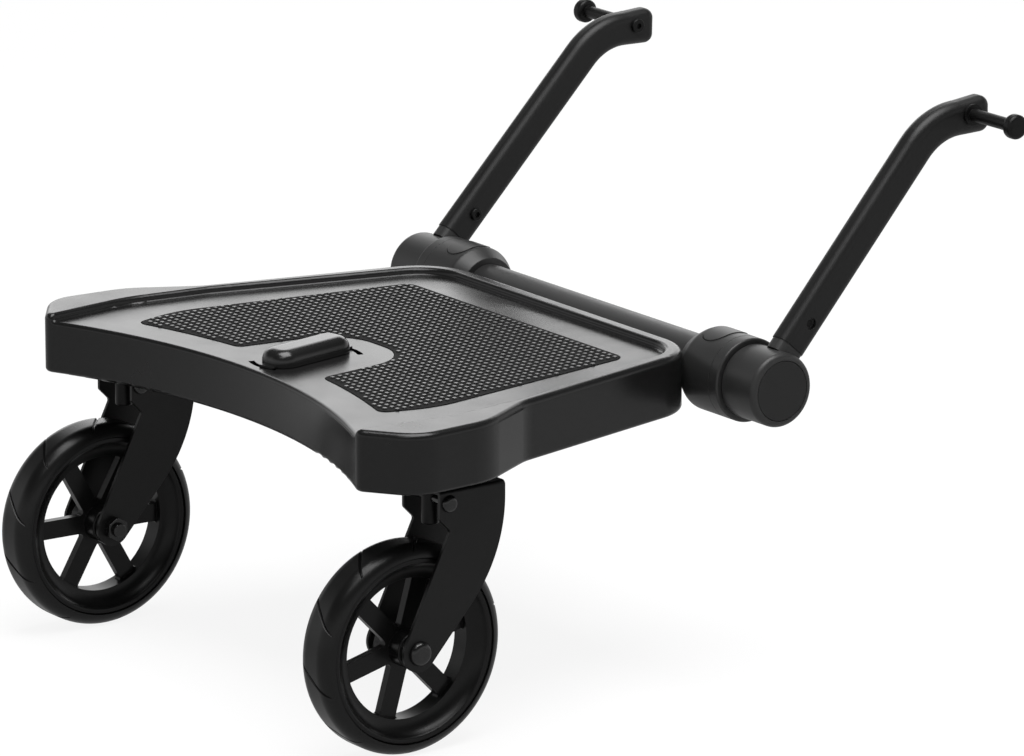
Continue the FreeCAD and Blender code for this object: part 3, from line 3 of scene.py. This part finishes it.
import bpy
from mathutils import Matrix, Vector


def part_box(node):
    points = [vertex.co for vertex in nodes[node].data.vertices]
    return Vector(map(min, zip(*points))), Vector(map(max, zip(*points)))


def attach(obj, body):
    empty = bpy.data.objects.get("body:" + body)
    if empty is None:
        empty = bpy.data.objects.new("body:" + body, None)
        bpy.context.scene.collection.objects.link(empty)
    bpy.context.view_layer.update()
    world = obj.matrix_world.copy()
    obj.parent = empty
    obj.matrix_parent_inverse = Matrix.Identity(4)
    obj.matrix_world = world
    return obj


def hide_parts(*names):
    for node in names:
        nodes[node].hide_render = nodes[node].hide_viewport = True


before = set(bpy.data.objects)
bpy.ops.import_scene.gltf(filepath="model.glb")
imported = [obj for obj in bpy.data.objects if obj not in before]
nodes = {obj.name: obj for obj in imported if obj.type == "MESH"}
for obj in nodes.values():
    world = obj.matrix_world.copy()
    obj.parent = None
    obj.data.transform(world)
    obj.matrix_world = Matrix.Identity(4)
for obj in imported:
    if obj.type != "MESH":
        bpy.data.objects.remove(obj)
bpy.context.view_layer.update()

MM = 0.001
SIDES = ("right", "left")
WHITE = (1.0, 1.0, 1.0, 1.0)
DOWN = Vector((0, 0, -1))


# Finishes: every colour, gloss and grain is made from noise in the piece's own space

NOISE_LOW, NOISE_HIGH = 0.3, 0.7
CLOUD_SIZE = 45 * MM
CLOUD_DETAIL = 4.0
GRAIN_DETAIL = 2.0
GRAIN_STRENGTH = 0.5
ROUGH_SWING = 0.04
EDGE_RADIUS = 0.5 * MM                 # light catches the edges as if they were a little rounded
EDGE_SAMPLES = 4
USUAL_SHINE = 0.25
USUAL_SHADE = 0.12                     # how far the cloud darkens and lightens the colour
NO_TINT = (1.0, 1.0, 1.0)
NYLON_TINT = (1.0, 1.0, 0.96)
EVEN = (1.0, 1.0, 1.0)
ALONG_X = (0.06, 1.0, 1.0)


def add_node(tree, kind, sockets, **settings):
    """Add a shader node, set its sockets and link those that are given as another node's output."""
    node = tree.nodes.new(kind)
    for key, value in settings.items():
        setattr(node, key, value)
    for socket, value in sockets.items():
        if isinstance(value, bpy.types.NodeSocket):
            tree.links.new(value, node.inputs[socket])
        else:
            node.inputs[socket].default_value = value
    return node


def noise(tree, vector, size, detail):
    """Noise whose lumps are about this size."""
    sockets = {"Vector": vector, "Scale": 1 / size, "Detail": detail}
    return add_node(tree, "ShaderNodeTexNoise", sockets).outputs["Fac"]


def spread(tree, factor, middle, swing):
    """Turn a factor into a number that swings about a middle value."""
    sockets = {"Value": factor, "From Min": NOISE_LOW, "From Max": NOISE_HIGH,
               "To Min": middle - swing, "To Max": middle + swing}
    return add_node(tree, "ShaderNodeMapRange", sockets).outputs["Result"]


def cloudy_colour(tree, cloud, grey, shade, tint):
    """A colour that drifts between a darker and a lighter grey."""
    dark, light = [
        tuple(grey * part * (1 + sign * shade) for part in tint) + (1.0,) for sign in (-1, 1)]
    mixed = add_node(tree, "ShaderNodeMix", {"Factor": cloud}, data_type="RGBA")
    colours = [socket for socket in mixed.inputs if socket.type == "RGBA"]
    for socket, colour in zip(colours, (dark, light)):
        socket.default_value = colour
    return next(socket for socket in mixed.outputs if socket.type == "RGBA")


def make_finish(name, grey, rough, grain_size, grain_depth, shine=USUAL_SHINE, metal=0.0,
                shade=USUAL_SHADE, tint=NO_TINT, stretch=EVEN):
    """A moulded or painted finish: cloudy gloss, a little shade, and a fine grain in relief."""
    material = bpy.data.materials.new(name)
    material.use_nodes = True
    tree = material.node_tree
    shader = tree.nodes["Principled BSDF"]
    own_space = tree.nodes.new("ShaderNodeTexCoord").outputs["Object"]
    stretched = add_node(tree, "ShaderNodeMapping", {"Vector": own_space, "Scale": stretch})
    cloud = noise(tree, own_space, CLOUD_SIZE, CLOUD_DETAIL)
    grain = noise(tree, stretched.outputs["Vector"], grain_size, GRAIN_DETAIL)
    tree.links.new(cloudy_colour(tree, cloud, grey, shade, tint), shader.inputs["Base Color"])
    tree.links.new(spread(tree, cloud, rough, ROUGH_SWING), shader.inputs["Roughness"])
    soft_edge = add_node(tree, "ShaderNodeBevel", {"Radius": EDGE_RADIUS}, samples=EDGE_SAMPLES)
    relief = add_node(tree, "ShaderNodeBump", {
        "Height": grain, "Distance": grain_depth, "Strength": GRAIN_STRENGTH,
        "Normal": soft_edge.outputs["Normal"]})
    tree.links.new(relief.outputs["Normal"], shader.inputs["Normal"])
    shader.inputs["Metallic"].default_value = metal
    shader.inputs["Specular IOR Level"].default_value = shine
    return material


# One finish for each slot of the record
finish_values = {
    "deck_plastic": dict(grey=0.006, rough=0.24, grain_size=0.9 * MM, grain_depth=0.012 * MM),
    "frame_plastic": dict(grey=0.006, rough=0.46, grain_size=1.2 * MM, grain_depth=0.04 * MM),
    "mat_rubber": dict(grey=0.008, rough=0.3, grain_size=0.7 * MM, grain_depth=0.03 * MM, shine=0.55),
    "knob_plastic": dict(grey=0.005, rough=0.22, grain_size=0.8 * MM, grain_depth=0.02 * MM, shine=0.4),
    "hub_plastic": dict(grey=0.017, rough=0.42, grain_size=0.8 * MM, grain_depth=0.03 * MM, shine=0.3),
    "black_tube": dict(grey=0.016, rough=0.42, grain_size=1.1 * MM, grain_depth=0.03 * MM, shine=0.3),
    "fork_steel": dict(grey=0.004, rough=0.4, grain_size=1.0 * MM, grain_depth=0.03 * MM, shine=0.2),
    "black_fastener": dict(grey=0.004, rough=0.18, grain_size=0.6 * MM, grain_depth=0.01 * MM, shine=0.4),
    "bright_steel": dict(grey=0.55, rough=0.34, grain_size=0.5 * MM, grain_depth=0.02 * MM,
                         metal=1.0, stretch=ALONG_X, shade=0.08),
    "bush_nylon": dict(grey=0.68, rough=0.45, grain_size=0.8 * MM, grain_depth=0.02 * MM,
                       tint=NYLON_TINT, shade=0.05),
    "rim_plastic": dict(grey=0.004, rough=0.3, grain_size=0.8 * MM, grain_depth=0.03 * MM, shine=0.16),
    "tyre": dict(grey=0.004, rough=0.3, grain_size=0.6 * MM, grain_depth=0.02 * MM, shine=0.2),
}
# Finishes of single pieces that differ a little from their slot
own_values = {
    "mat_rubber_sheet": dict(grey=0.005, rough=0.8, grain_size=0.7 * MM, grain_depth=0.04 * MM, shine=0.1),
    "black_fastener_dull": dict(
        grey=0.003, rough=0.4, grain_size=0.6 * MM, grain_depth=0.02 * MM, shine=0.16),
    "black_tube_arm": dict(grey=0.005, rough=0.42, grain_size=1.1 * MM, grain_depth=0.03 * MM, shine=0.24),
    "hub_plastic_cap": dict(grey=0.009, rough=0.44, grain_size=0.8 * MM, grain_depth=0.03 * MM, shine=0.25),
}
OWN_FINISH_OF = {
    "stud": "black_fastener_dull",
    "stud_screw": "black_fastener_dull",
    "arm_screw": "black_fastener_dull",
    "swivel_stem": "black_fastener_dull",
    "arm_tube": "black_tube_arm",
    "end_cap": "hub_plastic_cap",
}
finishes = {name: make_finish(name, **values) for name, values in finish_values.items()}
own_finishes = {name: make_finish(name, **values) for name, values in own_values.items()}

for node in nodes.values():
    for holder in node.material_slots:
        slot = next(name for name in finishes if holder.material.name.split(".")[0] == name)
        holder.material = finishes[slot]
nodes["grip_mat"].material_slots[0].material = own_finishes["mat_rubber_sheet"]
for side in SIDES:
    for piece, finish in OWN_FINISH_OF.items():
        nodes[f"{side}_{piece}"].material_slots[0].material = own_finishes[finish]


# Pieces made here

SHARP_ANGLE = math.radians(32)


def new_piece(name, points, faces, slot, body):
    """A mesh piece with one finish that moves with a body."""
    mesh = bpy.data.meshes.new(name)
    mesh.from_pydata(points, [], faces)
    mesh.update()
    mesh.shade_smooth()
    mesh.set_sharp_from_angle(angle=SHARP_ANGLE)
    mesh.materials.append(finishes[slot])
    piece = bpy.data.objects.new(name, mesh)
    bpy.context.scene.collection.objects.link(piece)
    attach(piece, body)
    return piece


# Tyres: the plain CAD ring, with ten slanting sipes cut across the tread

SIPES = 10
SIPE_PHASE = {"right": math.radians(8.7), "left": math.radians(17.7)}
SIPE_HALF_SPAN = 14.5 * MM
SIPE_SLANT = math.radians(9.3)          # turn from the middle of the tread to the end of a sipe
SIPE_HALF_WIDTH = 1.7 * MM
SIPE_END_SHARE = 0.06
SIPE_DEPTH = 1.9 * MM
SIPE_COLUMN_SHARES = ((-1.0, 0.0), (-0.25, 1.0), (0.25, 1.0), (1.0, 0.0))   # of half width and depth
COLUMNS_BETWEEN = 13
TYRE_SHOULDER = 11 * MM
TYRE_BEAD_RISE = 3.5 * MM
TYRE_BEAD_HALF_WIDTH = 12 * MM
CROWN_STEPS = 12
SHOULDER_STEPS = 12


def tyre_section(half, radius, inner):
    """Points across the tyre as (place along the axle, radius), from one bead over the tread to the other."""
    edge = inner + TYRE_BEAD_RISE
    middle = radius - TYRE_SHOULDER
    first = math.asin((edge - middle) / TYRE_SHOULDER)
    flat = half - TYRE_SHOULDER * math.cos(first)
    side = [(TYRE_BEAD_HALF_WIDTH, inner), (TYRE_BEAD_HALF_WIDTH, edge)]
    for step in range(SHOULDER_STEPS + 1):
        angle = first + (math.pi / 2 - first) * step / SHOULDER_STEPS
        side.append((flat + TYRE_SHOULDER * math.cos(angle), middle + TYRE_SHOULDER * math.sin(angle)))
    crown = [(flat - 2 * flat * step / CROWN_STEPS, radius) for step in range(1, CROWN_STEPS)]
    return side + crown + [(-along, out) for along, out in reversed(side)]


def sipe_width(along):
    """Half width of a sipe, which narrows like a leaf towards its ends."""
    share = min(abs(along) / SIPE_HALF_SPAN, 1.0)
    return SIPE_HALF_WIDTH * max(math.sqrt(1 - share * share), SIPE_END_SHARE)


def tread_columns(along, out, radius, phase):
    """Turns round the axle at one place across the tyre, each with how far it is cut in."""
    pitch = math.tau / SIPES
    slant = SIPE_SLANT * max(-1.0, min(1.0, along / SIPE_HALF_SPAN))
    width = sipe_width(along) / radius
    on_tread = out > radius - TYRE_SHOULDER and abs(along) < SIPE_HALF_SPAN
    depth = SIPE_DEPTH * (sipe_width(along) / SIPE_HALF_WIDTH) if on_tread else 0.0
    columns = []
    for sipe in range(SIPES):
        start = phase + pitch * sipe + slant
        columns += [(start + width * place, depth * drop) for place, drop in SIPE_COLUMN_SHARES]
        for step in range(1, COLUMNS_BETWEEN):
            turn = start + width + (pitch - 2 * width) * step / COLUMNS_BETWEEN
            columns.append((turn, 0.0))
    return columns


def make_tyre(side):
    node = f"{side}_tyre"
    low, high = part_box(node)
    centre = (low + high) / 2
    half, radius = (high.x - low.x) / 2, (high.z - low.z) / 2
    rim_low, rim_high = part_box(f"{side}_wheel_rim")
    inner = (rim_high.z - rim_low.z) / 2 - TYRE_BEAD_RISE
    section = tyre_section(half, radius, inner)
    points, faces = [], []
    for along, out in section:
        for turn, drop in tread_columns(along, out, radius, SIPE_PHASE[side]):
            reach = out - drop
            points.append(centre + Vector((along, reach * math.cos(turn), reach * math.sin(turn))))
    rows = len(section)
    count = len(points) // rows
    for row in range(rows):
        after = (row + 1) % rows
        for column in range(count):
            beside = (column + 1) % count
            faces.append((row * count + column, after * count + column,
                          after * count + beside, row * count + beside))
    tyre = new_piece(f"{side}_tyre_with_sipes", points, faces, "tyre", f"{side}_wheel")
    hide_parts(node)


for side in SIDES:
    make_tyre(side)


# Grip mat: rows of low round dots over the whole sheet

DOT_PITCH_X = 6.17 * MM
DOT_PITCH_Y = 5.83 * MM
DOT_RADIUS = 1.65 * MM
# Share of the radius and rise of each ring
DOT_RINGS = ((1.0, -0.1 * MM), (0.96, 0.6 * MM), (0.82, 0.82 * MM), (0.5, 0.88 * MM))
DOT_TOP = 0.9 * MM
DOT_SIDES = 12
DOT_MARGIN = 2.3 * MM
PROBES = 8
PROBE_LIFT = 50 * MM
PROBE_SLACK = 1 * MM


def on_mat(mat, x, y, top):
    """Whether a spot and the room round it lie on the mat."""
    for turn in range(PROBES):
        angle = math.tau * turn / PROBES
        beside_x, beside_y = x + DOT_MARGIN * math.cos(angle), y + DOT_MARGIN * math.sin(angle)
        hit, place, _, _ = mat.ray_cast(Vector((beside_x, beside_y, top + PROBE_LIFT)), DOWN)
        if not hit or place.z < top - PROBE_SLACK:
            return False
    return True


def add_dot(points, faces, x, y, top):
    """One dot of rings that rise to a point in the middle of its flat top."""
    first = len(points)
    for share, rise in DOT_RINGS:
        for corner in range(DOT_SIDES):
            angle = math.tau * corner / DOT_SIDES
            points.append((x + DOT_RADIUS * share * math.cos(angle),
                           y + DOT_RADIUS * share * math.sin(angle), top + rise))
    middle = len(points)
    points.append((x, y, top + DOT_TOP))
    for ring in range(len(DOT_RINGS)):
        for corner in range(DOT_SIDES):
            here = first + ring * DOT_SIDES + corner
            beside = first + ring * DOT_SIDES + (corner + 1) % DOT_SIDES
            if ring + 1 < len(DOT_RINGS):
                faces.append((here, beside, beside + DOT_SIDES, here + DOT_SIDES))
            else:
                faces.append((here, beside, middle))


def make_dots():
    mat = nodes["grip_mat"]
    low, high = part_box("grip_mat")
    points, faces = [], []
    columns = int((high.x - low.x) / DOT_PITCH_X / 2) + 1
    rows = int((high.y - low.y) / DOT_PITCH_Y) + 1
    for row in range(rows):
        for column in range(-columns, columns + 1):
            x, y = column * DOT_PITCH_X, low.y + row * DOT_PITCH_Y
            if on_mat(mat, x, y, high.z):
                add_dot(points, faces, x, y, high.z)
    new_piece("mat_dots", points, faces, "mat_rubber", "board")


make_dots()


# Floor, light and camera

FLOOR_SIZE = 30.0
FLOOR_GREY = (0.86, 0.86, 0.86, 1.0)
FLOOR_WHITE_SHARE = 0.88
FLOOR_IN_GLOSS = 0.6                    # the floor is dimmer in the piece's own reflections
WORLD_GREY = (0.38, 0.38, 0.38, 1.0)
WALL_TOP, CEILING_START = 0.26, 0.5     # upward part of the line of sight there
CEILING_SHADE = 0.12
LIGHT_TARGET = Vector((0.0, 0.0, 0.2))
# Place, width, height and radiance of each lamp; a radiance of one is as bright as a white wall
SOFTBOXES = {
    "back_softbox": ((-2.4, 1.8, 1.3), 3.0, 1.6, 1.5),
    "top_softbox": ((0.3, 0.0, 2.4), 1.8, 1.8, 8.5),
    "front_softbox": ((0.9, -1.25, 2.2), 0.7, 0.7, 3.0),
}
CAMERA_AZIMUTH = math.radians(54.20)
CAMERA_ELEVATION = math.radians(14.89)
CAMERA_DISTANCE = 5.3573
CAMERA_TARGET = Vector((-0.0018, 0.01491, 0.1812))
CAMERA_LENS = 270.78
CAMERA_SHIFT = (0.0026, -0.0002)


def seen_rays(tree):
    """One where a ray comes from the camera, a mirror or glass, and zero elsewhere."""
    path = tree.nodes.new("ShaderNodeLightPath").outputs
    total = path["Is Camera Ray"]
    for other in ("Is Glossy Ray", "Is Transmission Ray"):
        either = add_node(tree, "ShaderNodeMath", {0: total, 1: path[other]}, operation="MAXIMUM")
        total = either.outputs["Value"]
    return total


def show(tree, output_kind, factor, lit, seen):
    """End a shader tree with one look that gives light and another that is seen."""
    mixed = add_node(tree, "ShaderNodeMixShader", {"Fac": factor, 1: lit, 2: seen})
    add_node(tree, output_kind, {"Surface": mixed.outputs["Shader"]})


def make_floor():
    bpy.ops.mesh.primitive_plane_add(size=FLOOR_SIZE)
    floor = bpy.context.object
    floor.name = "floor"
    material = bpy.data.materials.new("floor_paper")
    material.use_nodes = True
    tree = material.node_tree
    tree.nodes.clear()
    paper = add_node(tree, "ShaderNodeBsdfDiffuse", {"Color": FLOOR_GREY})
    mirrored = tree.nodes.new("ShaderNodeLightPath").outputs["Is Glossy Ray"]
    level = add_node(tree, "ShaderNodeMapRange", {
        "Value": mirrored, "To Min": 1.0, "To Max": FLOOR_IN_GLOSS})
    glow = add_node(tree, "ShaderNodeEmission", {"Color": WHITE, "Strength": level.outputs["Result"]})
    share = add_node(tree, "ShaderNodeMath", {0: seen_rays(tree), 1: FLOOR_WHITE_SHARE}, operation="MULTIPLY")
    show(tree, "ShaderNodeOutputMaterial", share.outputs["Value"], paper.outputs["BSDF"],
         glow.outputs["Emission"])
    floor.data.materials.append(material)


def make_world():
    world = bpy.data.worlds.new("studio")
    bpy.context.scene.world = world
    world.use_nodes = True
    tree = world.node_tree
    tree.nodes.clear()
    lit = add_node(tree, "ShaderNodeBackground", {"Color": WORLD_GREY, "Strength": 1.0})
    sight = tree.nodes.new("ShaderNodeTexCoord").outputs["Generated"]
    upward = add_node(tree, "ShaderNodeSeparateXYZ", {"Vector": sight}).outputs["Z"]
    wall = add_node(tree, "ShaderNodeMapRange", {
        "Value": upward, "From Min": WALL_TOP, "From Max": CEILING_START,
        "To Min": 1.0, "To Max": CEILING_SHADE})
    seen = add_node(tree, "ShaderNodeBackground", {"Color": WHITE, "Strength": wall.outputs["Result"]})
    show(tree, "ShaderNodeOutputWorld", seen_rays(tree), lit.outputs["Background"],
         seen.outputs["Background"])


def add_softbox(name, place, width, height, radiance):
    """A large soft lamp aimed at the object."""
    data = bpy.data.lights.new(name, "AREA")
    data.shape = "RECTANGLE"
    data.size, data.size_y = width, height
    data.energy = radiance * math.pi * width * height
    lamp = bpy.data.objects.new(name, data)
    bpy.context.scene.collection.objects.link(lamp)
    lamp.location = place
    lamp.rotation_euler = (Vector(place) - LIGHT_TARGET).to_track_quat("Z", "Y").to_euler()
    lamp.visible_camera = False


def make_camera():
    data = bpy.data.cameras.new("camera")
    camera = bpy.data.objects.new("camera", data)
    bpy.context.scene.collection.objects.link(camera)
    flat = math.cos(CAMERA_ELEVATION)
    across, along = math.sin(CAMERA_AZIMUTH) * flat, -math.cos(CAMERA_AZIMUTH) * flat
    back = Vector((across, along, math.sin(CAMERA_ELEVATION)))
    camera.location = CAMERA_TARGET + back * CAMERA_DISTANCE
    camera.rotation_euler = back.to_track_quat("Z", "Y").to_euler()
    data.lens = CAMERA_LENS
    data.shift_x, data.shift_y = CAMERA_SHIFT
    data.clip_end = FLOOR_SIZE * 2
    bpy.context.scene.camera = camera


make_floor()
make_world()
for name, (place, width, height, radiance) in SOFTBOXES.items():
    add_softbox(name, place, width, height, radiance)
make_camera()
bpy.context.scene.view_settings.view_transform = "Standard"
